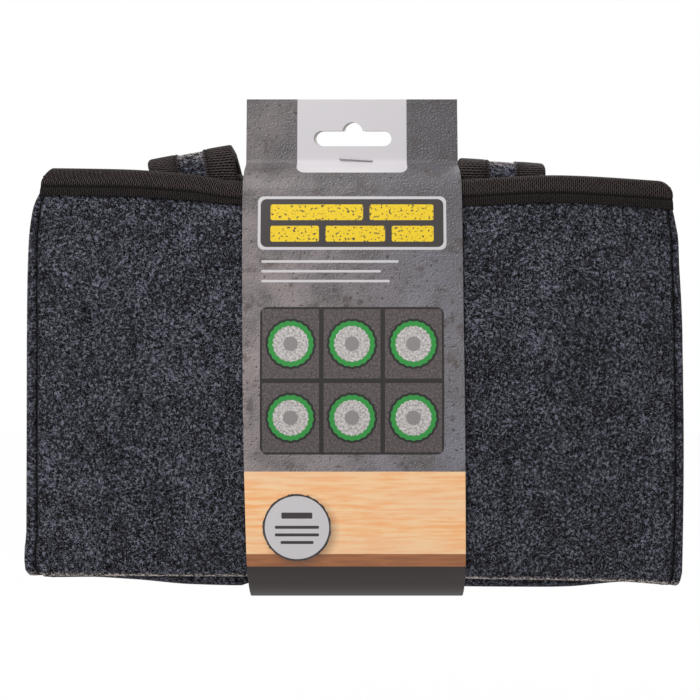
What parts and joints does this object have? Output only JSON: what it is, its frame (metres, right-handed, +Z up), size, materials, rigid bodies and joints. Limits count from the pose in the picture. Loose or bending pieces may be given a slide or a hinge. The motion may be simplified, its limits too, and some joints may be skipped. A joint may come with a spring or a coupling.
{
  "type": "felt bottle carrier",
  "caption": "Felt bottle carrier with compartments and two taped strap handles, folded flat inside a stapled card sleeve with a hanging slot.",
  "frame": {"origin": "middle of the bounding box at its lowest point, the crease under the sleeve", "axes": "+X to the right seen from the front, +Y to the back, +Z up; the carrier faces -Y"},
  "size_m": [0.265, 0.0402, 0.204],
  "materials": {
    "felt": "matte fibre felt, dark grey melange",
    "divider_felt": "thin matte felt with raw edges",
    "tape": "ribbed woven tape",
    "card": "printed coated card",
    "wire": "bright staple wire"
  },
  "bodies": {
    "carrier": {"felt_wrap": "felt", "left_gusset": "felt", "right_gusset": "felt", "front_handle_left_end": "felt", "front_handle_right_end": "felt", "back_handle_left_end": "felt", "back_handle_right_end": "felt", "front_handle_left_fold": "felt", "front_handle_right_fold": "felt", "back_handle_left_fold": "felt", "back_handle_right_fold": "felt", "long_divider": "divider_felt", "left_cross_divider": "divider_felt", "right_cross_divider": "divider_felt", "front_rim_binding": "tape", "back_rim_binding": "tape", "left_gusset_binding": "tape", "right_gusset_binding": "tape", "card_sleeve": "card", "sleeve_staple": "wire"},
    "front_handle": {"front_handle_felt": "felt", "front_handle_inner_tape": "tape", "front_handle_outer_tape": "tape"},
    "back_handle": {"back_handle_felt": "felt", "back_handle_inner_tape": "tape", "back_handle_outer_tape": "tape"}
  },
  "joints": [
    {"name": "front_handle_swing", "type": "hinge", "parent": "carrier", "child": "front_handle", "pos_m": [0, 0.00535, 0.1687], "axis": [1, 0, 0], "range_deg": [0, 178], "deforming": ["front_handle_left_fold", "front_handle_right_fold"]},
    {"name": "back_handle_swing", "type": "hinge", "parent": "carrier", "child": "back_handle", "pos_m": [0, 0.0091, 0.1687], "axis": [1, 0, 0], "range_deg": [0, 178], "deforming": ["back_handle_left_fold", "back_handle_right_fold"]}
  ],
  "couplings": [
    {"joint": "back_handle_swing", "follows": "front_handle_swing", "ratio": 1}
  ]
}
